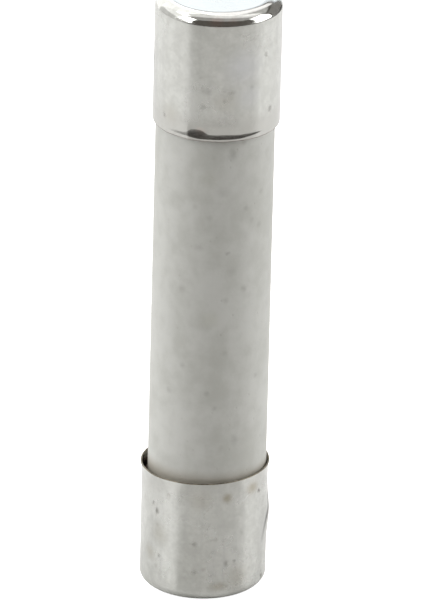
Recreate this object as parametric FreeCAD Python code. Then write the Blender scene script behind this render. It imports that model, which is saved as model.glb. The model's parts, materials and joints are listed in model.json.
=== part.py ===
import FreeCAD, Part
import math
import os

# Ceramic cartridge fuse, 1/4 x 1 1/4 in, as an assembly of separate pieces.
# Frame: origin at the centre of the lower end face, +Z up along the fuse.
# The element runs in the XZ plane. All sizes are in millimetres.

# ---- driving dimensions -------------------------------------------------
FUSE_LENGTH = 31.75
CAP_DIAMETER = 6.35
CAP_LENGTH = 6.55
CAP_WALL = 0.135
CAP_END_WALL = 0.15
CAP_CORNER = 0.52          # outside radius at the closed end
LOWER_CAP_SHIFT = -0.05    # each cap sits a little off the tube's axis, along X,
UPPER_CAP_SHIFT = 0.04     # pushed aside by the element's tail under its wall

LOWER_MOUTH_STEP = 0.075   # both mouths are belled, the lower one wider
LOWER_MOUTH_HEIGHT = 0.60
UPPER_MOUTH_STEP = 0.045
UPPER_MOUTH_HEIGHT = 0.28
LIP_THICKNESS = 0.09

TUBE_DIAMETER = 5.96
TUBE_BORE = 4.20
TUBE_EDGE = 0.15           # rounding of the tube's end edges
SOLDER_DEPTH = 0.50        # from the cap's floor to the tube's end
SOLDER_WICK = 0.60         # how far solder climbs round the tube's end

DISC_THICKNESS = 0.50
DISC_RECESS = 0.25         # how far a sealing disc sits inside the bore
NOTCH_DEPTH = 0.27
NOTCH_WIDTH = 0.14

WIRE_DIAMETER = 0.09
WIRE_CLEARANCE = 0.005
WIRE_TAIL = 1.50           # length folded back along the outside of the tube
BEAD_DIAMETER = 0.60
BEAD_LENGTH = 1.10

CEMENT_DEPTH = 0.65        # from the cap's rim down to the cement
CEMENT_HEIGHT = 1.60

# ---- derived dimensions -------------------------------------------------
CAP_RADIUS = CAP_DIAMETER / 2
CAP_BORE_RADIUS = CAP_RADIUS - CAP_WALL
CAP_INNER_CORNER = CAP_CORNER - CAP_WALL
TUBE_RADIUS = TUBE_DIAMETER / 2
BORE_RADIUS = TUBE_BORE / 2
TUBE_INSET = CAP_END_WALL + SOLDER_DEPTH
TUBE_BOTTOM = TUBE_INSET
TUBE_TOP = FUSE_LENGTH - TUBE_INSET
WIRE_OFFSET = WIRE_DIAMETER / 2 + WIRE_CLEARANCE
WIRE_BEND = TUBE_EDGE + WIRE_OFFSET
DISC_INSET = TUBE_INSET + DISC_RECESS
MID_HEIGHT = FUSE_LENGTH / 2

X_AXIS = FreeCAD.Vector(1, 0, 0)
Y_AXIS = FreeCAD.Vector(0, 1, 0)
Z_AXIS = FreeCAD.Vector(0, 0, 1)
ORIGIN = FreeCAD.Vector(0, 0, 0)


# ---- helpers ------------------------------------------------------------
def at(radius, height):
    """A point of a half profile, in the XZ plane."""
    return FreeCAD.Vector(radius, 0, height)


def line(start, end):
    return Part.LineSegment(start, end).toShape()


def corner_arc(centre, radius, start_degrees, end_degrees):
    """An arc in the XZ plane, with its angles counted from +X towards +Z."""
    middle_degrees = (start_degrees + end_degrees) / 2
    points = []
    for degrees in (start_degrees, middle_degrees, end_degrees):
        turn = math.radians(degrees)
        step = FreeCAD.Vector(math.cos(turn), 0, math.sin(turn)) * radius
        points.append(centre + step)
    return Part.Arc(*points).toShape()


def tangent_arc(start, end):
    """An arc between two points that leaves the first straight along Z."""
    step = end.x - start.x
    rise = end.z - start.z
    radius = (step * step + rise * rise) / (2 * abs(step))
    half_turn = math.atan2(abs(rise), radius - abs(step)) / 2
    side = math.copysign(1, step)
    along = math.copysign(radius * math.sin(half_turn), rise)
    across = side * radius * (1 - math.cos(half_turn))
    middle = start + FreeCAD.Vector(across, 0, along)
    return Part.Arc(start, middle, end).toShape()


def spin(edges):
    """The solid that a closed half profile makes when turned about Z."""
    profile = Part.Face(Part.Wire(edges))
    return profile.revolve(ORIGIN, Z_AXIS, 360)


def moved(shape, shift, height=0.0):
    copy = shape.copy()
    copy.translate(FreeCAD.Vector(shift, 0, height))
    return copy


def upper_copy(shape):
    """The same shape at the other end, turned half round about Y at mid length."""
    copy = shape.copy()
    copy.rotate(FreeCAD.Vector(0, 0, MID_HEIGHT), Y_AXIS, 180)
    return copy


def export(shape, node):
    solid = shape.Solids[0] if len(shape.Solids) == 1 else shape
    solid.exportStep(os.path.join("parts", node + ".step"))


# ---- end caps -----------------------------------------------------------
def cap_body(mouth_step, mouth_height):
    """A drawn cup standing on its closed end, open at the top."""
    lip_radius = LIP_THICKNESS / 2
    lip_height = CAP_LENGTH - lip_radius
    mouth_start = CAP_LENGTH - mouth_height
    lip_outer = CAP_RADIUS + mouth_step
    lip_inner = lip_outer - LIP_THICKNESS

    outer_corner = corner_arc(
        at(CAP_RADIUS - CAP_CORNER, CAP_CORNER), CAP_CORNER, -90, 0)
    inner_corner = corner_arc(
        at(CAP_RADIUS - CAP_CORNER, CAP_END_WALL + CAP_INNER_CORNER),
        CAP_INNER_CORNER, 0, -90)
    lip = corner_arc(at(lip_outer - lip_radius, lip_height), lip_radius, 0, 180)

    return spin([
        line(at(0, 0), at(CAP_RADIUS - CAP_CORNER, 0)),
        outer_corner,
        line(at(CAP_RADIUS, CAP_CORNER), at(CAP_RADIUS, mouth_start)),
        tangent_arc(at(CAP_RADIUS, mouth_start), at(lip_outer, lip_height)),
        lip,
        tangent_arc(at(CAP_BORE_RADIUS, mouth_start), at(lip_inner, lip_height)),
        line(at(CAP_BORE_RADIUS, mouth_start),
             at(CAP_BORE_RADIUS, CAP_END_WALL + CAP_INNER_CORNER)),
        inner_corner,
        line(at(CAP_RADIUS - CAP_CORNER, CAP_END_WALL), at(0, CAP_END_WALL)),
        line(at(0, CAP_END_WALL), at(0, 0)),
    ])


def cap_cavity(height):
    """The room inside a cap, from its floor up to the given height."""
    floor_radius = CAP_RADIUS - CAP_CORNER
    corner_top = CAP_END_WALL + CAP_INNER_CORNER
    return spin([
        line(at(0, CAP_END_WALL), at(floor_radius, CAP_END_WALL)),
        corner_arc(at(floor_radius, corner_top), CAP_INNER_CORNER, -90, 0),
        line(at(CAP_BORE_RADIUS, corner_top), at(CAP_BORE_RADIUS, height)),
        line(at(CAP_BORE_RADIUS, height), at(0, height)),
        line(at(0, height), at(0, CAP_END_WALL)),
    ])


# ---- ceramic tube -------------------------------------------------------
def tube():
    """A straight tube whose four end edges are rounded."""
    inner = BORE_RADIUS + TUBE_EDGE
    outer = TUBE_RADIUS - TUBE_EDGE
    low = TUBE_BOTTOM + TUBE_EDGE
    high = TUBE_TOP - TUBE_EDGE
    return spin([
        line(at(inner, TUBE_BOTTOM), at(outer, TUBE_BOTTOM)),
        corner_arc(at(outer, low), TUBE_EDGE, -90, 0),
        line(at(TUBE_RADIUS, low), at(TUBE_RADIUS, high)),
        corner_arc(at(outer, high), TUBE_EDGE, 0, 90),
        line(at(outer, TUBE_TOP), at(inner, TUBE_TOP)),
        corner_arc(at(inner, high), TUBE_EDGE, 90, 180),
        line(at(BORE_RADIUS, high), at(BORE_RADIUS, low)),
        corner_arc(at(inner, low), TUBE_EDGE, 180, 270),
    ])


# ---- fuse element -------------------------------------------------------
def bent_path(points, radius):
    """Straight runs through the points, joined by tangent arcs of one radius."""
    edges = []
    start = points[0]
    for before, corner, after in zip(points, points[1:], points[2:]):
        towards = (after - corner).normalize()
        back = (before - corner).normalize()
        turn = math.pi - back.getAngle(towards)
        trim = radius * math.tan(turn / 2)
        arc_start = corner + back * trim
        arc_end = corner + towards * trim
        bisector = (back + towards).normalize()
        centre = corner + bisector * (radius / math.cos(turn / 2))
        arc_middle = centre - bisector * radius
        edges.append(line(start, arc_start))
        edges.append(Part.Arc(arc_start, arc_middle, arc_end).toShape())
        start = arc_end
    edges.append(line(start, points[-1]))
    return Part.Wire(edges)


def element_points():
    """The wire's corners: tail, lower end, across the bore, upper end, tail."""
    outside = TUBE_RADIUS + WIRE_OFFSET
    inside = BORE_RADIUS - WIRE_OFFSET
    low = TUBE_BOTTOM - WIRE_OFFSET
    high = TUBE_TOP + WIRE_OFFSET
    return [
        at(-outside, TUBE_BOTTOM + WIRE_TAIL),
        at(-outside, low),
        at(-inside, low),
        at(inside, high),
        at(outside, high),
        at(outside, TUBE_TOP - WIRE_TAIL),
    ]


def element_wire():
    points = element_points()
    section = Part.Wire(Part.makeCircle(WIRE_DIAMETER / 2, points[0], Z_AXIS))
    return bent_path(points, WIRE_BEND).makePipeShell([section], True, False)


def element_direction():
    """The way the wire slants through the bore."""
    points = element_points()
    return (points[3] - points[2]).normalize()


def bead(wire):
    """A tin bead cast round the wire at mid length, blunt at both ends."""
    half = BEAD_LENGTH / 2
    belly = BEAD_DIAMETER / 2
    neck = WIRE_DIAMETER
    body = spin([
        line(at(0, -half), at(neck, -half)),
        Part.Arc(at(neck, -half), at(belly, 0), at(neck, half)).toShape(),
        line(at(neck, half), at(0, half)),
        line(at(0, half), at(0, -half)),
    ])
    slant = math.degrees(element_direction().getAngle(Z_AXIS))
    body.rotate(ORIGIN, Y_AXIS, slant)
    body.translate(at(0, MID_HEIGHT))
    return body.cut(wire)


# ---- filling, seals and joints -------------------------------------------
def sealing_disc():
    """A fibre disc in the lower end of the bore, notched to let the wire by."""
    disc = Part.makeCylinder(BORE_RADIUS, DISC_THICKNESS, at(0, DISC_INSET), Z_AXIS)
    notch_corner = FreeCAD.Vector(-BORE_RADIUS - NOTCH_DEPTH, -NOTCH_WIDTH / 2, DISC_INSET)
    notch = Part.makeBox(2 * NOTCH_DEPTH, NOTCH_WIDTH, DISC_THICKNESS, notch_corner)
    return disc.cut(notch)


def sand_fill(wire, tin_bead):
    """Quartz sand packed round the wire between the two discs."""
    bottom = DISC_INSET + DISC_THICKNESS
    height = FUSE_LENGTH - 2 * bottom
    column = Part.makeCylinder(BORE_RADIUS, height, at(0, bottom), Z_AXIS)
    return column.cut([wire, tin_bead])


def solder(pool, neighbours):
    """Solder that fills a cap's end round the tube, the disc and the wire."""
    return pool.cut(neighbours)


def cement_ring(shift):
    """Brown cement between the lower cap's wall and the tube, below the rim."""
    base = CAP_LENGTH - CEMENT_DEPTH - CEMENT_HEIGHT
    outer = Part.makeCylinder(CAP_BORE_RADIUS, CEMENT_HEIGHT, at(shift, base), Z_AXIS)
    inner = Part.makeCylinder(TUBE_RADIUS, CEMENT_HEIGHT, at(0, base), Z_AXIS)
    return outer.cut(inner)


def main():
    os.makedirs("parts", exist_ok=True)

    ceramic_tube = tube()
    fuse_element = element_wire()
    tin_bead = bead(fuse_element)
    lower_disc = sealing_disc()
    upper_disc = upper_copy(lower_disc)

    lower_pool = moved(cap_cavity(TUBE_BOTTOM + SOLDER_WICK), LOWER_CAP_SHIFT)
    upper_pool = upper_copy(moved(cap_cavity(TUBE_BOTTOM + SOLDER_WICK), -UPPER_CAP_SHIFT))
    upper_cap = moved(cap_body(UPPER_MOUTH_STEP, UPPER_MOUTH_HEIGHT), -UPPER_CAP_SHIFT)

    nodes = {
        "ceramic_tube": ceramic_tube,
        "lower_end_cap": moved(cap_body(LOWER_MOUTH_STEP, LOWER_MOUTH_HEIGHT), LOWER_CAP_SHIFT),
        "upper_end_cap": upper_copy(upper_cap),
        "fuse_element": fuse_element,
        "tin_bead": tin_bead,
        "quartz_sand_fill": sand_fill(fuse_element, tin_bead),
        "lower_sealing_disc": lower_disc,
        "upper_sealing_disc": upper_disc,
        "lower_solder": solder(lower_pool, [ceramic_tube, lower_disc, fuse_element]),
        "upper_solder": solder(upper_pool, [ceramic_tube, upper_disc, fuse_element]),
        "lower_cement_ring": cement_ring(LOWER_CAP_SHIFT),
        "upper_cement_ring": upper_copy(cement_ring(-UPPER_CAP_SHIFT)),
    }
    for node, shape in nodes.items():
        export(shape, node)
        box = shape.optimalBoundingBox(False)
        print(f"{node}: {len(shape.Solids)} solid, {shape.Volume:.3f} mm3, valid {shape.isValid()}, "
              f"z {box.ZMin:.2f} to {box.ZMax:.2f}")


main()
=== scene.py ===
import json
import math

import bmesh
import bpy
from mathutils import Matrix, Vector, noise


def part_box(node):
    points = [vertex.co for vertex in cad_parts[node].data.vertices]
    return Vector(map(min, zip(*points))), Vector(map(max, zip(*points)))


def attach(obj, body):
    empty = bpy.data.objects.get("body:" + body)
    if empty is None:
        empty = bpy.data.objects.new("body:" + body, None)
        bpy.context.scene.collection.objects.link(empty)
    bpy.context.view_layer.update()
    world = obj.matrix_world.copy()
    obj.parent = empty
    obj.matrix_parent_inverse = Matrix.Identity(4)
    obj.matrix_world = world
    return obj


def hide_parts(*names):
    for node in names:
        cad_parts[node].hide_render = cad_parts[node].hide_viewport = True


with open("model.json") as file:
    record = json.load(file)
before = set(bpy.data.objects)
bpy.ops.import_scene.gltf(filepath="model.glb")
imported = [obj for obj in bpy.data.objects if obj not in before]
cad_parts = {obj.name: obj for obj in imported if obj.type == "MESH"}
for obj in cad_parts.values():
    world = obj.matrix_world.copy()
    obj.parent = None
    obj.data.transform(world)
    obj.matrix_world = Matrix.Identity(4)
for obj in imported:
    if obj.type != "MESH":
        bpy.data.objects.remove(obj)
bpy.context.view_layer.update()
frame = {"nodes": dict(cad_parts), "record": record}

# A ceramic cartridge fuse on a white floor. Shapes are worked out in millimetres
# and stored in metres. Angles round the fuse start at its front, -Y, and grow
# towards +X. The row has no joints, so every piece rides on the one body.
MM = 0.001
BODY = "root"
MOUNTS = {mount["name"]: mount for mount in frame["record"]["mounts"]}


# ---- sizes read from the frame --------------------------------------------
def extent(node):
    low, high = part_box(node)
    return low / MM, high / MM


def mount_axis(name):
    """Where a cap's own axis stands, along X."""
    return MOUNTS[name]["pos_m"][0] / MM


TUBE_LOW, TUBE_HIGH = extent("ceramic_tube")
TUBE_RADIUS = TUBE_HIGH.x
BORE_RADIUS = extent("quartz_sand_fill")[1].y
LOWER_CAP_LOW, LOWER_CAP_HIGH = extent("lower_end_cap")
UPPER_CAP_HIGH = extent("upper_end_cap")[1]
LOWER_AXIS = mount_axis("lower_cap_barrel")
UPPER_AXIS = mount_axis("upper_cap_barrel")
CAP_RADIUS = MOUNTS["lower_cap_barrel"]["dims"]["r_mm"]
CAP_LENGTH = LOWER_CAP_HIGH.z - LOWER_CAP_LOW.z
CAP_BORE_RADIUS = extent("lower_solder")[1].y
CAP_WALL = CAP_RADIUS - CAP_BORE_RADIUS
CAP_FLOOR = extent("lower_solder")[0].z
FUSE_TOP = UPPER_CAP_HIGH.z
MID_HEIGHT = FUSE_TOP / 2
LOWER_BELL = LOWER_CAP_HIGH.y - CAP_RADIUS
UPPER_BELL = UPPER_CAP_HIGH.y - CAP_RADIUS
TUBE_EDGE = 0.15


# ---- outlines and skins ----------------------------------------------------
def spread(start, end, count):
    """Evenly spaced steps from start to end, with the end left out."""
    return [start + (end - start) * i / count for i in range(count)]


def straight(start, end, count):
    radii = spread(start[0], end[0], count)
    heights = spread(start[1], end[1], count)
    return list(zip(radii, heights))


def rounded(centre, across, tall, start_degrees, end_degrees, count):
    """Part of an ellipse with these two half sizes."""
    points = []
    for degrees in spread(start_degrees, end_degrees, count):
        turn = math.radians(degrees)
        points.append((centre[0] + across * math.cos(turn), centre[1] + tall * math.sin(turn)))
    return points


def skin(name, outline, segments, axis_x=0.0, relief=None, flip=False, edge=()):
    """The outline turned about a vertical axis, with a relief laid over it.

    An outline that starts and ends on the axis closes there, and any other is a
    ring. relief(angle, radius, height) gives a point's shift outwards and up.
    flip turns the finished shape over at the fuse's mid height. Bands whose
    numbers are in edge take the second material."""
    mesh = bmesh.new()
    rings = []
    for radius, height in outline:
        if radius < 1e-6:
            shift = relief(0.0, 0.0, height)[1] if relief else 0.0
            rings.append([place(mesh, 0.0, 0.0, height + shift, axis_x, flip)])
            continue
        ring = []
        for segment in range(segments):
            angle = 2 * math.pi * segment / segments
            out, up = relief(angle, radius, height) if relief else (0.0, 0.0)
            ring.append(place(mesh, angle, radius + out, height + up, axis_x, flip))
        rings.append(ring)
    closed = len(rings[0]) > 1
    following = rings[1:] + rings[:1] if closed else rings[1:]
    for band, (ring, other) in enumerate(zip(rings, following)):
        join_rings(mesh, ring, other, segments, 1 if band in edge else 0)
    return finished(name, mesh)


def place(mesh, angle, radius, height, axis_x, flip):
    z = FUSE_TOP - height if flip else height
    x = axis_x + radius * math.sin(angle)
    y = -radius * math.cos(angle)
    return mesh.verts.new((x * MM, y * MM, z * MM))


def join_rings(mesh, ring, other, segments, material):
    for i in range(segments):
        j = (i + 1) % segments
        if len(ring) == 1:
            corners = (ring[0], other[i], other[j])
        elif len(other) == 1:
            corners = (ring[i], ring[j], other[0])
        else:
            corners = (ring[i], ring[j], other[j], other[i])
        mesh.faces.new(corners).material_index = material


def finished(name, mesh):
    """Makes the object of a finished skin, smooth and facing outwards."""
    bmesh.ops.recalc_face_normals(mesh, faces=mesh.faces)
    for face in mesh.faces:
        face.smooth = True
    data = bpy.data.meshes.new(name)
    mesh.to_mesh(data)
    mesh.free()
    piece = bpy.data.objects.new(name, data)
    bpy.context.scene.collection.objects.link(piece)
    return piece


def add_piece(piece, materials, slot, *nodes):
    """Puts a finished piece in the frame in place of its CAD nodes."""
    for material in materials:
        piece.data.materials.append(material)
    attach(piece, BODY)
    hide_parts(*nodes)


# ---- shader building -------------------------------------------------------
class Shader:
    """A material built node by node, with coordinates in millimetres."""

    def __init__(self, name, colour, roughness, metallic=0.0):
        self.material = bpy.data.materials.new(name)
        self.material.use_nodes = True
        self.tree = self.material.node_tree
        self.surface = self.tree.nodes["Principled BSDF"]
        self.surface.inputs["Base Color"].default_value = (*colour, 1)
        self.surface.inputs["Roughness"].default_value = roughness
        self.surface.inputs["Metallic"].default_value = metallic
        coordinates = self.tree.nodes.new("ShaderNodeTexCoord").outputs["Object"]
        self.place = self.vector("SCALE", coordinates, scale=1 / MM)
        wander = self.node("ShaderNodeTexNoise", {"Vector": self.place, "Scale": 5.0, "Detail": 3.0})
        wander = self.vector("SUBTRACT", wander.outputs["Color"], (0.5, 0.5, 0.5))
        self.wandering = self.vector("ADD", self.place, self.vector("SCALE", wander, scale=0.22))

    def node(self, kind, inputs, **settings):
        node = self.tree.nodes.new(kind)
        for key, value in settings.items():
            setattr(node, key, value)
        for key, value in inputs.items():
            if isinstance(value, bpy.types.NodeSocket):
                self.tree.links.new(value, node.inputs[key])
            else:
                node.inputs[key].default_value = value
        return node

    def vector(self, operation, first, second=None, scale=None):
        inputs = {0: first}
        if second is not None:
            inputs[1] = second
        if scale is not None:
            inputs["Scale"] = scale
        return self.node("ShaderNodeVectorMath", inputs, operation=operation).outputs[0]

    def math(self, operation, first, second, clamp=False):
        inputs = {0: first, 1: second}
        node = self.node("ShaderNodeMath", inputs, operation=operation, use_clamp=clamp)
        return node.outputs[0]

    def noise(self, size, detail=3.0, roughness=0.55, stretch=(1, 1, 1), offset=0.0):
        """Noise whose blobs are about size millimetres across."""
        place = self.vector("MULTIPLY", self.place, stretch)
        place = self.vector("ADD", place, (offset, offset, offset))
        inputs = {"Vector": place, "Scale": 0.5 / size, "Detail": detail, "Roughness": roughness}
        return self.node("ShaderNodeTexNoise", inputs).outputs["Fac"]

    def speckle(self, size, threshold, soft, offset=0.0):
        """Scattered round specks: 1 in their middles, 0 between them."""
        place = self.vector("ADD", self.place, (offset, offset, offset))
        inputs = {"Vector": place, "Scale": 1 / size, "Randomness": 1.0}
        cells = self.node("ShaderNodeTexVoronoi", inputs)
        near = self.span(cells.outputs["Distance"], 0.32, 0.32 - soft)
        chosen = self.node("ShaderNodeSeparateColor", {0: cells.outputs["Color"]}).outputs[0]
        picked = self.span(chosen, threshold, threshold + 0.02)
        return self.math("MULTIPLY", near, picked)

    def span(self, value, start, end, low=0.0, high=1.0):
        """Runs smoothly from low to high as value goes from start to end."""
        inputs = {"Value": value, "From Min": start, "From Max": end, "To Min": low, "To Max": high}
        settings = {"interpolation_type": "SMOOTHSTEP"}
        return self.node("ShaderNodeMapRange", inputs, **settings).outputs["Result"]

    def blend(self, amount, base, other):
        """One colour fading into another. Each is three numbers or a socket."""
        node = self.tree.nodes.new("ShaderNodeMix")
        node.data_type = "RGBA"
        for socket, value in ((node.inputs[0], amount), (node.inputs[6], base), (node.inputs[7], other)):
            if isinstance(value, bpy.types.NodeSocket):
                self.tree.links.new(value, socket)
            else:
                socket.default_value = value if socket == node.inputs[0] else (*value, 1)
        return node.outputs[2]

    def marks(self, marks, ragged=True):
        """Marks at chosen points: the strongest one at each place."""
        total = None
        place = self.wandering if ragged else self.place
        for point, radius, strength, stretch in marks:
            gap = self.vector("SUBTRACT", place, point)
            gap = self.vector("MULTIPLY", gap, (1, 1, 1 / stretch))
            length = self.node("ShaderNodeVectorMath", {0: gap}, operation="LENGTH")
            mark = self.span(length.outputs["Value"], radius, 0.0, 0.0, strength)
            total = mark if total is None else self.math("MAXIMUM", total, mark)
        return total

    def bumps(self, heights):
        """Stacks bumps, each a height socket and its depth in millimetres."""
        normal = None
        for height, depth in heights:
            inputs = {"Height": height, "Distance": depth * MM, "Strength": 1.0}
            if normal is not None:
                inputs["Normal"] = normal
            normal = self.node("ShaderNodeBump", inputs).outputs["Normal"]
        self.tree.links.new(normal, self.surface.inputs["Normal"])

    def feed(self, socket, value):
        self.tree.links.new(value, self.surface.inputs[socket])


def on_wall(axis_x, radius, marks):
    """Turns (degrees, height, size, strength, stretch) into places on a wall."""
    placed = []
    for degrees, height, size, strength, stretch in marks:
        turn = math.radians(degrees)
        point = (axis_x + radius * math.sin(turn), -radius * math.cos(turn), height)
        placed.append((point, size, strength, stretch))
    return placed


# ---- materials ---------------------------------------------------------------
# Marks: degrees from the front, height, size in mm, strength, stretch along Z.
LOWER_PITS = [
    (-48, 4.58, 0.20, 0.75, 1.5), (-53, 4.93, 0.14, 0.45, 1.3), (59, 5.60, 0.17, 0.85, 1.0),
    (-44, 2.18, 0.17, 0.50, 1.0), (21, 2.13, 0.20, 0.50, 1.6), (29, 2.17, 0.16, 0.45, 1.0),
    (-8, 1.68, 0.26, 0.40, 0.8), (69, 0.71, 0.20, 0.80, 1.3), (-9, 3.22, 0.26, 0.40, 0.8),
    (150, 3.90, 0.18, 0.60, 1.2), (-140, 2.40, 0.16, 0.60, 1.0), (112, 1.60, 0.15, 0.50, 1.0),
]
LOWER_STAINS = [
    (21, 5.71, 0.40, 1.00, 1.1), (49, 5.95, 0.65, 0.90, 0.8), (-45, 3.40, 0.85, 0.32, 1.0),
    (14, 0.91, 0.80, 0.60, 0.5), (-57, 2.15, 0.60, 0.40, 1.0), (33, 1.30, 1.00, 0.35, 1.0),
    (-4, 5.60, 0.90, 0.30, 1.0), (170, 4.60, 0.80, 0.50, 0.8), (-120, 1.40, 0.70, 0.45, 0.8),
]
# The crease on the lower cap's right: degrees from the front, height, strength.
LOWER_CREASE = [
    (83, 4.80, 0.9), (83, 4.25, 1.0), (81, 4.00, 1.0), (77, 3.73, 0.9), (72, 3.26, 0.6), (67, 2.72, 0.2),
]
UPPER_PITS = [
    (49, 29.40, 0.17, 0.40, 1.2), (56, 26.40, 0.22, 0.42, 1.2), (-54, 25.97, 0.18, 0.35, 1.3),
    (-9, 27.73, 0.34, 0.18, 0.8), (14, 27.67, 0.34, 0.15, 0.8), (33, 27.86, 0.17, 0.25, 1.0),
    (-12, 26.91, 0.20, 0.18, 1.0), (7, 27.25, 0.18, 0.16, 1.0), (-82, 28.4, 0.30, 0.50, 2.2),
    (140, 28.30, 0.20, 0.50, 1.2), (-150, 27.00, 0.18, 0.50, 1.0),
]
UPPER_STAINS = [
    (-45, 26.2, 0.90, 0.25, 1.0), (7, 27.2, 0.90, 0.25, 1.0), (160, 26.8, 0.80, 0.40, 0.8),
]
UPPER_TARNISH = [(-2, 31.42, 0.55, 0.9, 0.6), (14, 31.42, 0.45, 0.5, 0.6), (-14, 25.6, 0.4, 0.5, 0.8)]
UPPER_COOL = [(24, 29.0, 1.5, 0.55, 1.0), (30, 27.4, 1.0, 0.4, 1.0)]
TUBE_SPECKS = [
    (15, 19.0, 0.22, 0.75, 0.8), (33, 16.95, 0.28, 0.55, 1.0), (-30, 16.95, 0.34, 0.40, 1.0),
    (51, 12.0, 0.20, 0.50, 1.0), (-2, 11.4, 0.22, 0.50, 1.0), (6, 10.6, 0.22, 0.45, 1.0),
    (33, 21.3, 0.24, 0.50, 1.0), (-27, 12.8, 0.26, 0.45, 1.0), (-42, 11.25, 0.24, 0.45, 1.0),
    (18, 24.3, 0.36, 0.60, 1.6), (27, 8.8, 0.28, 0.50, 1.6), (9, 22.3, 0.55, 0.35, 0.8),
    (40, 20.6, 0.26, 0.35, 1.0), (20, 18.0, 0.45, 0.30, 1.0), (-13, 19.3, 0.36, 0.30, 0.8),
    (160, 14.0, 0.30, 0.50, 1.0), (-150, 20.0, 0.25, 0.50, 1.0), (120, 9.5, 0.24, 0.50, 1.0),
]
TUBE_STAINS = [(0, 15.45, 0.70, 0.5, 0.9), (-4, 22.9, 0.70, 0.3, 1.2), (-140, 12.0, 0.8, 0.4, 1.0)]

PLATING_LIGHT = (0.785, 0.793, 0.753)
PLATING_DULL = (0.66, 0.666, 0.628)
STREAK_TONE = (0.60, 0.60, 0.58)
SMUDGE_TONE = (0.50, 0.49, 0.45)
# painted shade colour near a cap's mouth
RIM_SHADE_TONE = (0.60, 0.595, 0.56)
STAIN_TONE = (0.48, 0.45, 0.37)
PIT_TONE = (0.22, 0.21, 0.19)
# painted shade colour for the thin ring at the end plate's edge
EDGE_LINE_SHADE_TONE = (0.30, 0.29, 0.27)
# painted shade colour for the dark line in the lower cap's crease
CREASE_SHADE_TONE = (0.20, 0.20, 0.19)
COOL_TONE = (0.77, 0.785, 0.81)
TARNISH_TONE = (0.80, 0.68, 0.62)
# The cut edge in two tones: darker on the lower cap, whose lip faces up, as painted shade; lighter on the
# upper, whose lip faces down, as painted light.
LOWER_EDGE_SHADED_TONE = (0.35, 0.318, 0.25)
UPPER_EDGE_LIT_TONE = (0.50, 0.45, 0.42)
CERAMIC_PLAIN = (0.66, 0.66, 0.625)
CERAMIC_DARK = (0.592, 0.600, 0.557)
CERAMIC_LIGHT = (0.687, 0.695, 0.658)
SPECKLE_TONE = (0.42, 0.42, 0.38)
FINE_SPECK_TONE = (0.36, 0.35, 0.31)
CHOSEN_SPECK_TONE = (0.33, 0.33, 0.30)
YELLOWED_TONE = (0.50, 0.50, 0.40)
# painted shade colour, tinted brown, where the tube meets the lower cap
MOUTH_SHADE_TONE = (0.378, 0.332, 0.255)

MOUTH_AWAY = MID_HEIGHT - CAP_LENGTH    # a cap's mouth, as a height away from the fuse's middle
END_SHADE_OUT = 0.03     # the painted line of shade lies this far outside the end plate's flat
SHADE_BAND_TOP = 0.75        # above the lower cap's mouth, where the painted brown shade on the tube starts
SHADE_BAND_BOTTOM = 0.1      # below that mouth, where it is strongest


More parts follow.
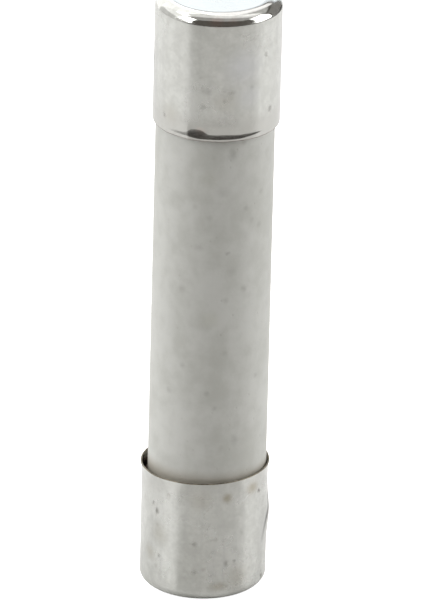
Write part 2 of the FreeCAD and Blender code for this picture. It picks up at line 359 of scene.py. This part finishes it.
def cap_material(name, axis_x, brightness, pits, stains, smudges, rim_shade_strength,
                 tarnish=(), crease=(), cool=()):
    """Thin bright plating on a drawn brass cap, with handling marks, and painted shade near the mouth, in a
    ring at the end plate's edge and along any crease.
    """
    light = tuple(brightness * part for part in PLATING_LIGHT)
    dull = tuple(brightness * part for part in PLATING_DULL)
    shader = Shader(name, light, 0.25, metallic=1.0)
    clouds = shader.noise(1.3, detail=4.0)
    mottle = shader.noise(0.26, detail=3.0, offset=11.0)
    grain = shader.noise(0.09, detail=3.0, offset=17.0)
    drawn = shader.noise(0.14, detail=4.0, stretch=(1, 1, 0.05), offset=5.0)
    tone = shader.math("ADD", shader.math("MULTIPLY", clouds, 0.4), shader.math("MULTIPLY", mottle, 0.35))
    tone = shader.math("ADD", tone, shader.math("MULTIPLY", grain, 0.25))
    colour = shader.blend(shader.span(tone, 0.38, 0.62), dull, light)
    streak = shader.span(drawn, 0.45, 0.75, 0.0, 0.30)
    colour = shader.blend(streak, colour, STREAK_TONE)
    dirt = shader.speckle(0.60, 0.78, 0.30, offset=3.0)
    colour = shader.blend(shader.math("MULTIPLY", dirt, smudges), colour, SMUDGE_TONE)
    height = shader.node("ShaderNodeSeparateXYZ", {0: shader.place}).outputs["Z"]
    away = shader.math("ABSOLUTE", shader.math("SUBTRACT", height, MID_HEIGHT), 0.0)
    # Painted shade: the wall darkens towards the mouth, over its last 1.5 mm.
    rim_shade = shader.span(away, MOUTH_AWAY + 1.5, MOUTH_AWAY + 0.6, 0.0, rim_shade_strength)
    colour = shader.blend(rim_shade, colour, RIM_SHADE_TONE)
    stain = shader.marks(stains)
    colour = shader.blend(stain, colour, STAIN_TONE)
    pit = shader.marks(pits)
    colour = shader.blend(pit, colour, PIT_TONE)
    closed_end = shader.span(away, MID_HEIGHT - 0.05, MID_HEIGHT - 0.012, 0.0, 0.85)
    colour = shader.blend(closed_end, colour, light)
    # Painted shade: a thin dark ring where the end plate's flat meets the corner.
    flat = shader.vector("MULTIPLY", shader.vector("SUBTRACT", shader.place, (axis_x, 0, 0)), (1, 1, 0))
    from_axis = shader.node("ShaderNodeVectorMath", {0: flat}, operation="LENGTH").outputs["Value"]
    past_edge = shader.math("SUBTRACT", from_axis, CAP_RADIUS - CORNER_ACROSS + END_SHADE_OUT)
    from_edge = shader.math("ABSOLUTE", past_edge, 0.0)
    edge_line_shade = shader.math("MULTIPLY", shader.span(from_edge, 0.10, 0.02, 0.0, 0.38), closed_end)
    colour = shader.blend(edge_line_shade, colour, EDGE_LINE_SHADE_TONE)
    # Painted shade: a dark line along the crease on the lower cap's right.
    if crease:
        colour = shader.blend(shader.marks(crease, ragged=False), colour, CREASE_SHADE_TONE)
    if cool:
        colour = shader.blend(shader.marks(cool), colour, COOL_TONE)
    if tarnish:
        colour = shader.blend(shader.marks(tarnish), colour, TARNISH_TONE)
    shader.feed("Base Color", colour)
    haze = shader.math("ADD", shader.span(clouds, 0.35, 0.7, 0.20, 0.30), shader.math("MULTIPLY", pit, 0.3))
    corner = shader.span(away, MID_HEIGHT - CORNER_TALL + 0.02, MID_HEIGHT - CORNER_TALL + 0.16)
    mouth = shader.span(away, MOUTH_AWAY + 0.75, MOUTH_AWAY + 0.55)
    shiny = shader.math("MAXIMUM", corner, shader.math("MULTIPLY", mouth, 0.6))
    shader.feed("Roughness", shader.math("SUBTRACT", haze, shader.math("MULTIPLY", shiny, 0.11)))
    smooth = shader.math("MAXIMUM", closed_end, shader.math("MULTIPLY", corner, 0.85))
    wall = shader.math("SUBTRACT", 1.0, smooth)
    shader.bumps([
        (shader.math("MULTIPLY", shader.noise(0.9, detail=2.0, offset=2.0), wall), 0.020),
        (shader.math("MULTIPLY", mottle, wall), 0.005),
        (shader.math("MULTIPLY", drawn, wall), 0.0020),
        (shader.math("MULTIPLY", grain, wall), 0.0012),
    ])
    return shader.material


def crease_path(steps):
    """Points along the crease, each with the strength that it has there."""
    path = []
    for start, end in zip(LOWER_CREASE, LOWER_CREASE[1:]):
        for part in spread(0.0, 1.0, steps):
            path.append([a + (b - a) * part for a, b in zip(start, end)])
    return path


def crease_shade_marks():
    """Painted shade in the crease, as a run of small marks."""
    marks = [(degrees, height, 0.20, strength, 2.0) for degrees, height, strength in crease_path(4)]
    return on_wall(LOWER_AXIS, CAP_RADIUS, marks)


def raw_edge_material(name, colour):
    """The cut edge of a cap's brass, which the plating barely covers."""
    shader = Shader(name, colour, 0.5, metallic=1.0)
    grain = shader.noise(0.12, detail=4.0)
    shade = tuple(0.55 * part for part in colour)
    shader.feed("Base Color", shader.blend(shader.span(grain, 0.35, 0.65), shade, colour))
    shader.feed("Roughness", shader.span(grain, 0.3, 0.7, 0.40, 0.60))
    shader.bumps([(grain, 0.006)])
    return shader.material


def ceramic_material():
    """Pale unglazed ceramic: warm grey, mottled, with darker specks, and painted brown shade by the lower
    cap's mouth.
    """
    shader = Shader("ceramic", CERAMIC_PLAIN, 0.5)
    clouds = shader.noise(1.4, detail=3.0, stretch=(1, 1, 0.6))
    mottle = shader.noise(0.45, detail=4.0, offset=9.0)
    tone = shader.math("ADD", shader.math("MULTIPLY", clouds, 0.55), shader.math("MULTIPLY", mottle, 0.45))
    colour = shader.blend(shader.span(tone, 0.38, 0.62), CERAMIC_DARK, CERAMIC_LIGHT)
    specks = shader.speckle(0.80, 0.78, 0.3, offset=4.0)
    colour = shader.blend(shader.math("MULTIPLY", specks, 0.35), colour, SPECKLE_TONE)
    fine = shader.speckle(0.30, 0.90, 0.3, offset=7.0)
    colour = shader.blend(shader.math("MULTIPLY", fine, 0.14), colour, FINE_SPECK_TONE)
    chosen = shader.marks(on_wall(0.0, TUBE_RADIUS, TUBE_SPECKS))
    colour = shader.blend(shader.math("MULTIPLY", chosen, 0.62), colour, CHOSEN_SPECK_TONE)
    yellowed = shader.marks(on_wall(0.0, TUBE_RADIUS, TUBE_STAINS))
    colour = shader.blend(shader.math("MULTIPLY", yellowed, 0.5), colour, YELLOWED_TONE)
    height = shader.node("ShaderNodeSeparateXYZ", {0: shader.place}).outputs["Z"]
    # Painted shade, tinted brown: the tube darkens towards the lower cap's mouth.
    mouth_shade = shader.span(height, CAP_LENGTH + SHADE_BAND_TOP, CAP_LENGTH - SHADE_BAND_BOTTOM, 0.0, 0.60)
    colour = shader.blend(mouth_shade, colour, MOUTH_SHADE_TONE)
    shader.feed("Base Color", colour)
    shader.feed("Roughness", shader.span(mottle, 0.3, 0.7, 0.42, 0.58))
    shader.bumps([(mottle, 0.006), (shader.noise(0.07, detail=3.0, offset=6.0), 0.004), (fine, -0.01)])
    return shader.material


def plain_grained(name, dark, light, roughness, size, depth, metallic=0.0):
    """A two-tone material with a grain that also shows in the surface."""
    shader = Shader(name, light, roughness, metallic)
    grain = shader.noise(size, detail=5.0)
    patches = shader.noise(size * 4, detail=2.0, offset=13.0)
    tone = shader.math("MULTIPLY", shader.math("ADD", grain, patches), 0.5)
    shader.feed("Base Color", shader.blend(shader.span(tone, 0.36, 0.64), dark, light))
    shader.feed("Roughness", shader.span(patches, 0.3, 0.7, roughness - 0.08, roughness + 0.08))
    shader.bumps([(patches, depth * 2), (grain, depth)])
    return shader.material


# ---- end caps ----------------------------------------------------------------
CORNER_ACROSS = 0.72
CORNER_TALL = 0.55
LIP_RADIUS = 0.045
SKIRT_RISE = 0.105
SKIRT_CURL = 0.0525
UPPER_REACH = 0.11
BORE_ROOM = 0.04        # the bore is opened this much, to give a cap set askew more room
CAP_SEGMENTS = 400
TUBE_SEGMENTS = 320
FACE_BAND = 0.14        # finer rings lie this close to the end plate's edge
MOUTH_ZONE = 1.0        # and this close to the mouth
THIN_LIP_END = 0.5      # below the mouth, where the thinned lip ends
FULL_WALL_START = 0.9   # below the mouth, where the wall is thickest


def cap_outline():
    """A cap standing on its closed end: outside up, over the lip, inside down.

    Also gives which of its bands are the cut edge of the lip."""
    lip_height = CAP_LENGTH - LIP_RADIUS
    inner_radius = CAP_BORE_RADIUS + BORE_ROOM
    flat_radius = CAP_RADIUS - CORNER_ACROSS
    inner_across = CORNER_ACROSS - CAP_WALL + BORE_ROOM
    inner_tall = CORNER_TALL - CAP_WALL
    floor_corner = CAP_FLOOR + inner_tall
    outline = straight((0.0, 0.0), (flat_radius - FACE_BAND, 0.0), 12)
    outline += straight((flat_radius - FACE_BAND, 0.0), (flat_radius, 0.0), 6)
    outline += rounded((flat_radius, CORNER_TALL), CORNER_ACROSS, CORNER_TALL, -90, 0, 24)
    outline += straight((CAP_RADIUS, CORNER_TALL), (CAP_RADIUS, CAP_LENGTH - MOUTH_ZONE), 80)
    outline += straight((CAP_RADIUS, CAP_LENGTH - MOUTH_ZONE), (CAP_RADIUS, lip_height), 48)
    first = len(outline)
    outline += rounded((CAP_RADIUS - LIP_RADIUS, lip_height), LIP_RADIUS, LIP_RADIUS, 0, 180, 8)
    edge = range(first, len(outline))
    inner = CAP_RADIUS - 2 * LIP_RADIUS
    outline += straight((inner, lip_height), (inner, CAP_LENGTH - THIN_LIP_END), 12)
    outline += straight((inner, CAP_LENGTH - THIN_LIP_END), (inner_radius, CAP_LENGTH - FULL_WALL_START), 5)
    outline += straight((inner_radius, CAP_LENGTH - FULL_WALL_START), (inner_radius, floor_corner), 14)
    outline += rounded((flat_radius, floor_corner), inner_across, inner_tall, 0, -90, 8)
    outline += straight((flat_radius, CAP_FLOOR), (0.0, CAP_FLOOR), 5)
    outline.append((0.0, CAP_FLOOR))
    return outline, edge


def hump(value, centre, width):
    return math.exp(-((value - centre) / width) ** 2)


def turn_gap(angle, degrees):
    """How far an angle is from a direction given in degrees, in degrees."""
    return (math.degrees(angle) - degrees + 180) % 360 - 180


def dents(angle, height, marks):
    """Sum of soft humps: degrees, height, rise in mm, half width and half height."""
    rise = 0.0
    for degrees, centre, size, wide, tall in marks:
        rise += size * hump(turn_gap(angle, degrees), 0.0, wide) * hump(height, centre, tall)
    return rise


def waves(angle, height, size, seed):
    """Slow unevenness of a wall that was drawn and pressed on."""
    point = Vector((math.sin(angle) * 2.2, math.cos(angle) * 2.2, height * 0.5 + seed))
    return size * noise.noise(point)


def ripple(angle, size, seed):
    point = Vector((math.sin(angle) * 4, math.cos(angle) * 4, seed))
    return size * noise.noise(point)


def skirt(below_rim, depth, share):
    """How far the wall stands out where the mouth flares, below_rim from its end.

    The flare starts with a crease depth from the end and takes up share of what
    is below it. The rest is upright. Where it is deep the wall is pinched in."""
    length = max(0.001, depth * share)
    flare = length * (SKIRT_RISE + SKIRT_CURL)
    pinch = max(0.0, flare - UPPER_BELL)
    if below_rim >= depth:
        return -pinch * hump(below_rim, depth, 0.28)
    part = min(1.0, (depth - max(0.0, below_rim)) / length)
    return length * (SKIRT_RISE * part + SKIRT_CURL * part * part) - pinch


LOWER_DENTS = [
    (88, 3.85, 0.110, 13, 0.95),
    (-48, 4.60, -0.008, 5, 0.30),
    (20, 5.70, -0.006, 8, 0.35),
    (150, 3.90, -0.010, 6, 0.35),
    (-130, 2.20, -0.012, 14, 0.70),
]
UPPER_DENTS = [
    (140, 3.3, -0.010, 7, 0.40),
    (-110, 2.4, -0.012, 12, 0.60),
]


CREASE_POINTS = crease_path(9)
CREASE_DEPTH = 0.022
CREASE_WIDTH = 0.10
CREASE_MIDDLE = 78
CREASE_REACH = 22

# The lower cap sits askew: its mouth opens out, and its rim slants to one side.
LOWER_TILT = 0.011
LOWER_LEAN = 0.045
RIM_SLANT = 0.07
RIM_ZONE = 2.4
FLARE_ZONE = 0.60


def crease_groove(angle, height):
    """How deep the wall is creased here."""
    if abs(turn_gap(angle, CREASE_MIDDLE)) > CREASE_REACH:
        return 0.0
    deepest = 0.0
    for degrees, level, strength in CREASE_POINTS:
        along = math.radians(turn_gap(angle, degrees)) * CAP_RADIUS
        gap = math.hypot(along, height - level)
        deepest = max(deepest, strength * hump(gap, 0.0, CREASE_WIDTH))
    return CREASE_DEPTH * deepest


def lower_relief(angle, radius, height):
    rim = max(0.0, (height - (CAP_LENGTH - RIM_ZONE)) / RIM_ZONE)
    tilt = LOWER_TILT * (radius * math.sin(angle) + CAP_RADIUS)
    lean = -LOWER_LEAN * math.sin(angle)
    slant = RIM_SLANT * math.sin(angle) * rim ** 3
    flare = LOWER_BELL * max(0.0, 1.0 - (CAP_LENGTH - height) / FLARE_ZONE) ** 2
    side = dents(angle, height, LOWER_DENTS) + waves(angle, height, 0.010, 1.0) + flare
    side += 0.02 * rim ** 8 * ripple(angle, 1.0, 4.0) - crease_groove(angle, height)
    share = min(1.0, radius / CAP_BORE_RADIUS)
    rise = tilt + slant + rim ** 6 * ripple(angle, 0.025, 3.0)
    return (side * share ** 4 + lean, rise)


# The upper cap's skirt is deepest at a pinched spot, this many degrees from the front.
PINCH_AT = -18.2
PINCH_WIDTH = 9.0
SKIRT_DEPTH = 0.37
PINCH_DEEPER = 0.22


def upper_relief(angle, radius, height):
    below_rim = CAP_LENGTH - height
    mound = math.exp(-(turn_gap(angle, PINCH_AT) / PINCH_WIDTH) ** 4)
    front = 1.0 / (1.0 + (turn_gap(angle, 1) / 28) ** 6)
    aside = min(1.0, abs(turn_gap(angle, 0)) / 60) ** 2
    depth = SKIRT_DEPTH + PINCH_DEEPER * mound - 0.12 * aside + ripple(angle, 0.03, 5.0)
    round_front = 1.0 / (1.0 + (turn_gap(angle, -4) / 47) ** 16)
    share = 0.36 * round_front + 0.30 * front + 0.15 * mound
    side = skirt(below_rim, depth, share) + dents(angle, height, UPPER_DENTS)
    side += waves(angle, height, 0.008, 7.0)
    inward = min(1.0, radius / CAP_BORE_RADIUS)
    rise = UPPER_REACH * height / CAP_LENGTH
    rise += max(0.0, 1.0 - below_rim / 1.2) ** 6 * ripple(angle, 0.02, 9.0)
    return (side * inward ** 4, rise * inward ** 4)


def build_caps():
    outline, edge = cap_outline()
    lower = skin("cap_lower", outline, CAP_SEGMENTS, LOWER_AXIS, lower_relief, edge=edge)
    upper = skin("cap_upper", outline, CAP_SEGMENTS, UPPER_AXIS, upper_relief, flip=True, edge=edge)
    lower_pits = on_wall(LOWER_AXIS, CAP_RADIUS, LOWER_PITS)
    lower_stains = on_wall(LOWER_AXIS, CAP_RADIUS, LOWER_STAINS)
    upper_pits = on_wall(UPPER_AXIS, CAP_RADIUS, UPPER_PITS)
    upper_stains = on_wall(UPPER_AXIS, CAP_RADIUS, UPPER_STAINS)
    tarnish = on_wall(UPPER_AXIS, CAP_RADIUS - 0.1, UPPER_TARNISH)
    cool = on_wall(UPPER_AXIS, CAP_RADIUS, UPPER_COOL)
    lower_looks = [cap_material("plating_lower", LOWER_AXIS, 0.99, lower_pits, lower_stains, 0.55, 0.25,
                                crease=crease_shade_marks()),
                   # the lower cap's cut edge, darkened as painted shade
                   raw_edge_material("edge_lower", LOWER_EDGE_SHADED_TONE)]
    upper_looks = [cap_material("plating_upper", UPPER_AXIS, 1.0, upper_pits, upper_stains, 0.30, 0.65,
                                tarnish=tarnish, cool=cool),
                   # the upper cap's cut edge, lightened as painted light
                   raw_edge_material("edge_upper", UPPER_EDGE_LIT_TONE)]
    add_piece(lower, lower_looks, "plated_cap", "lower_end_cap")
    add_piece(upper, upper_looks, "plated_cap", "upper_end_cap")


# ---- ceramic tube --------------------------------------------------------------
def build_tube():
    low = TUBE_LOW.z
    high = TUBE_HIGH.z
    outer = TUBE_RADIUS - TUBE_EDGE
    inner = BORE_RADIUS + TUBE_EDGE
    outline = rounded((outer, low + TUBE_EDGE), TUBE_EDGE, TUBE_EDGE, -90, 0, 6)
    outline += straight((TUBE_RADIUS, low + TUBE_EDGE), (TUBE_RADIUS, high - TUBE_EDGE), 150)
    outline += rounded((outer, high - TUBE_EDGE), TUBE_EDGE, TUBE_EDGE, 0, 90, 6)
    outline += straight((outer, high), (inner, high), 6)
    outline += rounded((inner, high - TUBE_EDGE), TUBE_EDGE, TUBE_EDGE, 90, 180, 6)
    outline += straight((BORE_RADIUS, high - TUBE_EDGE), (BORE_RADIUS, low + TUBE_EDGE), 40)
    outline += rounded((inner, low + TUBE_EDGE), TUBE_EDGE, TUBE_EDGE, 180, 270, 6)
    outline += straight((inner, low), (outer, low), 6)

    def relief(angle, radius, height):
        share = 1.0 if radius > outer else 0.0
        return (share * waves(angle, height, 0.006, 21.0), 0.0)

    tube = skin("tube", outline, TUBE_SEGMENTS, 0.0, relief)
    add_piece(tube, [ceramic_material()], "ceramic_body", "ceramic_tube")


# ---- stage -----------------------------------------------------------------------
# Upright light panels: the azimuths and then the elevations that each spans,
# radiance, colour. Azimuth is counted like the angles round the fuse.
PANELS = {
    "back_low": (154, 190, -2.4, 28.5, 1.3, (0.86, 0.92, 1.0)),
    "back_high": (154, 190, 32.5, 68, 1.2, (1.0, 0.98, 1.0)),
    "back_side": (184, 232, -2.4, 64, 1.3, (1, 1, 1)),
    "left_box": (-79, -49, 20, 50, 5.0, (1, 1, 1)),
    "left_low": (-83, -51, -1, 20, 0.4, (1, 1, 1)),
    "far_left_low": (-128, -80, -1, 25, 0.6, (1, 1, 1)),
    "far_left_high": (-128, -80, 25, 62, 1.1, (1, 1, 1)),
    "right_box": (70, 105, 6, 46, 4.2, (1, 1, 1)),
    "far_right_low": (110, 152, -2, 36, 0.15, (1, 1, 1)),
    "far_right_high": (110, 154, 40, 66, 0.45, (1, 1, 1)),
}
PANEL_DISTANCE = 0.36
OVERHEAD_HEIGHT = 0.42
OVERHEAD = {
    "overhead": (-0.35, 0.34, -0.02, 0.17, 0.85),
    "overhead_front": (-0.35, 0.34, -0.27, -0.02, 0.3),
}
WORLD_DIM = (0.110, 0.100, 0.091)
FLOOR_REACH = 3
CARD_HEIGHT = 0.00005
CARD_START = 0.0024
TABLE_REACH = 0.134     # where the grey card ends and the dark one begins, in metres
DARK_REACH = 0.9
CARD_APEX = 1.9         # the grey card's tones fan out from this far in front of the axis, in mm
GREY_NEAR = (0.555, 0.55, 0.541)
GREY_FAR = (0.622, 0.617, 0.608)
GREY_LEFT = (0.512, 0.512, 0.503)
CARD_WHITE = (0.88, 0.88, 0.88)
DARK_TONE = (0.086, 0.081, 0.077)
DARK_PALER = (0.7, 0.7, 0.7)


def light_panel(name, location, facing, width, height, radiance, colour):
    """A flat rectangular light that the camera doesn't see."""
    data = bpy.data.lights.new(name, "AREA")
    data.shape = "RECTANGLE"
    data.size = width
    data.size_y = height
    data.energy = radiance * math.pi * width * height
    data.color = colour
    light = bpy.data.objects.new(name, data)
    light.location = location
    light.rotation_euler = facing.to_track_quat("-Z", "Y").to_euler()
    light.visible_camera = False
    bpy.context.scene.collection.objects.link(light)


def upright_panel(name, start, end, low, high, radiance, colour):
    """A panel that spans these azimuths and elevations as the fuse sees them."""
    turn = math.radians((start + end) / 2)
    width = 2 * PANEL_DISTANCE * math.tan(math.radians(end - start) / 2)
    bottom = PANEL_DISTANCE * math.tan(math.radians(low))
    top = PANEL_DISTANCE * math.tan(math.radians(high))
    outward = Vector((math.sin(turn), -math.cos(turn), 0))
    middle = MID_HEIGHT * MM + (bottom + top) / 2
    location = outward * PANEL_DISTANCE + Vector((0, 0, middle))
    light_panel(name, location, -outward, width, top - bottom, radiance, colour)


def flat_sheet(name, corners, height):
    data = bpy.data.meshes.new(name)
    data.from_pydata([(x, y, height) for x, y in corners], [], [tuple(range(len(corners)))])
    sheet = bpy.data.objects.new(name, data)
    bpy.context.scene.collection.objects.link(sheet)
    return sheet


def fan(start, end, inner, outer, count=24):
    """Corners of a flat ring sector between two azimuths, in metres."""
    corners = []
    for reach, degrees in ((inner, spread(start, end, count) + [end]),
                           (outer, (spread(start, end, count) + [end])[::-1])):
        for value in degrees:
            turn = math.radians(value)
            corners.append((reach * math.sin(turn), -reach * math.cos(turn)))
    return corners


def paper(name, brightness):
    sheet = Shader(name, (brightness, brightness, brightness), 0.9)
    sheet.surface.inputs["Specular IOR Level"].default_value = 0.0
    return sheet


def azimuth_of(sheet, parts):
    """The azimuth in degrees of a place, given as separate X and Y sockets."""
    forward = sheet.math("MULTIPLY", parts["Y"], -1.0)
    return sheet.math("MULTIPLY", sheet.math("ARCTAN2", parts["X"], forward), 180 / math.pi)


def build_stage():
    square = ((-1, -1), (1, -1), (1, 1), (-1, 1))
    floor = flat_sheet("floor", [(FLOOR_REACH * x, FLOOR_REACH * y) for x, y in square], 0.0)
    white = paper("white_paper", 0.88)
    glow = white.node("ShaderNodeLightPath", {}).outputs["Is Camera Ray"]
    white.surface.inputs["Emission Color"].default_value = (1, 1, 1, 1)
    white.feed("Emission Strength", white.math("MULTIPLY", glow, 0.93))
    floor.data.materials.append(white.material)

    # A grey card lies in front of the fuse and fades to white at either side. A
    # dark card lies beyond it.
    card = flat_sheet("grey_card", fan(-84, 104, CARD_START, TABLE_REACH), CARD_HEIGHT)
    grey = paper("grey_card", 0.5)
    from_apex = grey.vector("ADD", grey.place, (0, CARD_APEX, 0))
    parts = grey.node("ShaderNodeSeparateXYZ", {0: from_apex}).outputs
    azimuth = azimuth_of(grey, parts)
    side = grey.math("ADD", grey.span(azimuth, -42, -60, 0.0, 0.9), grey.span(azimuth, 66, 88, 0.0, 0.86))
    side = grey.math("ADD", side, grey.span(azimuth, 25, 64, 0.0, 0.14))
    reach = grey.node("ShaderNodeVectorMath", {0: grey.place}, operation="LENGTH").outputs["Value"]
    side = grey.math("MAXIMUM", side, grey.span(reach, 6.0, 2.6, 0.0, 0.6))
    side = grey.math("MINIMUM", side, 1.0)
    middle = grey.blend(grey.span(reach, 22, 55), GREY_NEAR, GREY_FAR)
    middle = grey.blend(grey.span(azimuth, -5, -35, 0.0, 0.5), middle, GREY_LEFT)
    grey.feed("Base Color", grey.blend(side, middle, CARD_WHITE))
    card.data.materials.append(grey.material)
    dark = flat_sheet("dark_card", fan(-88, 152, TABLE_REACH, DARK_REACH), CARD_HEIGHT)
    black = paper("dark_card", 0.03)
    parts = black.node("ShaderNodeSeparateXYZ", {0: black.place}).outputs
    paler = black.span(azimuth_of(black, parts), -40, -88)
    black.feed("Base Color", black.blend(paler, DARK_TONE, DARK_PALER))
    dark.data.materials.append(black.material)
    for sheet in (card, dark):
        sheet.visible_camera = False
        sheet.visible_shadow = False

    for name, settings in PANELS.items():
        upright_panel(name, *settings)
    for name, (west, east, front, back, radiance) in OVERHEAD.items():
        above = Vector(((west + east) / 2, (front + back) / 2, OVERHEAD_HEIGHT))
        size = (east - west, back - front)
        light_panel(name, above, Vector((0, 0, -1)), *size, radiance, (1, 0.99, 1.0))
    world = bpy.data.worlds.new("studio")
    world.use_nodes = True
    background = world.node_tree.nodes["Background"]
    path = world.node_tree.nodes.new("ShaderNodeLightPath")
    choose = world.node_tree.nodes.new("ShaderNodeMix")
    choose.data_type = "RGBA"
    choose.inputs[6].default_value = (*WORLD_DIM, 1)
    choose.inputs[7].default_value = (0.97, 0.97, 0.97, 1)
    world.node_tree.links.new(path.outputs["Is Camera Ray"], choose.inputs[0])
    world.node_tree.links.new(choose.outputs[2], background.inputs["Color"])
    bpy.context.scene.world = world


def build_camera():
    """A long lens that looks down at the fuse, rolled a little."""
    elevation = math.radians(23.19)
    roll = math.radians(1.42)
    distance = 650.0
    view_height = 29.985
    aim = Vector((0.0542, -0.2416, 15.336))
    data = bpy.data.cameras.new("camera")
    data.sensor_width = 36.0
    data.lens = data.sensor_width * distance / view_height
    data.clip_start = 0.05
    data.clip_end = 20
    camera = bpy.data.objects.new("camera", data)
    back = Vector((0, -math.cos(elevation), math.sin(elevation)))
    camera.location = (aim + back * distance) * MM
    camera.rotation_euler = back.to_track_quat("Z", "Y").to_euler()
    camera.rotation_euler.rotate_axis("Z", roll)
    bpy.context.scene.collection.objects.link(camera)
    bpy.context.scene.camera = camera


build_camera()
build_stage()
build_caps()
build_tube()

HIDDEN_LOOKS = {
    "fuse_element": plain_grained("silvered_wire", (0.62, 0.60, 0.56), (0.80, 0.78, 0.74),
                                  0.28, 0.03, 0.001, 1.0),
    "tin_bead": plain_grained("tin", (0.50, 0.50, 0.51), (0.68, 0.68, 0.69), 0.35, 0.08, 0.004, 1.0),
    "quartz_sand_fill": plain_grained("sand", (0.52, 0.46, 0.36), (0.84, 0.81, 0.74), 0.75, 0.12, 0.03),
    "lower_sealing_disc": plain_grained("fibre", (0.28, 0.17, 0.09), (0.44, 0.30, 0.18), 0.8, 0.10, 0.01),
    "lower_solder": plain_grained("solder", (0.42, 0.42, 0.43), (0.62, 0.62, 0.62), 0.33, 0.35, 0.01, 1.0),
    "lower_cement_ring": plain_grained("cement", (0.035, 0.02, 0.012), (0.11, 0.06, 0.035), 0.6, 0.09, 0.01),
}
SAME_LOOKS = {
    "upper_sealing_disc": "lower_sealing_disc",
    "upper_solder": "lower_solder",
    "upper_cement_ring": "lower_cement_ring",
}
for node in list(HIDDEN_LOOKS) + list(SAME_LOOKS):
    look = HIDDEN_LOOKS[SAME_LOOKS.get(node, node)]
    for material_slot in frame["nodes"][node].material_slots:
        material_slot.material = look

scene = bpy.context.scene
scene.view_settings.view_transform = "Standard"
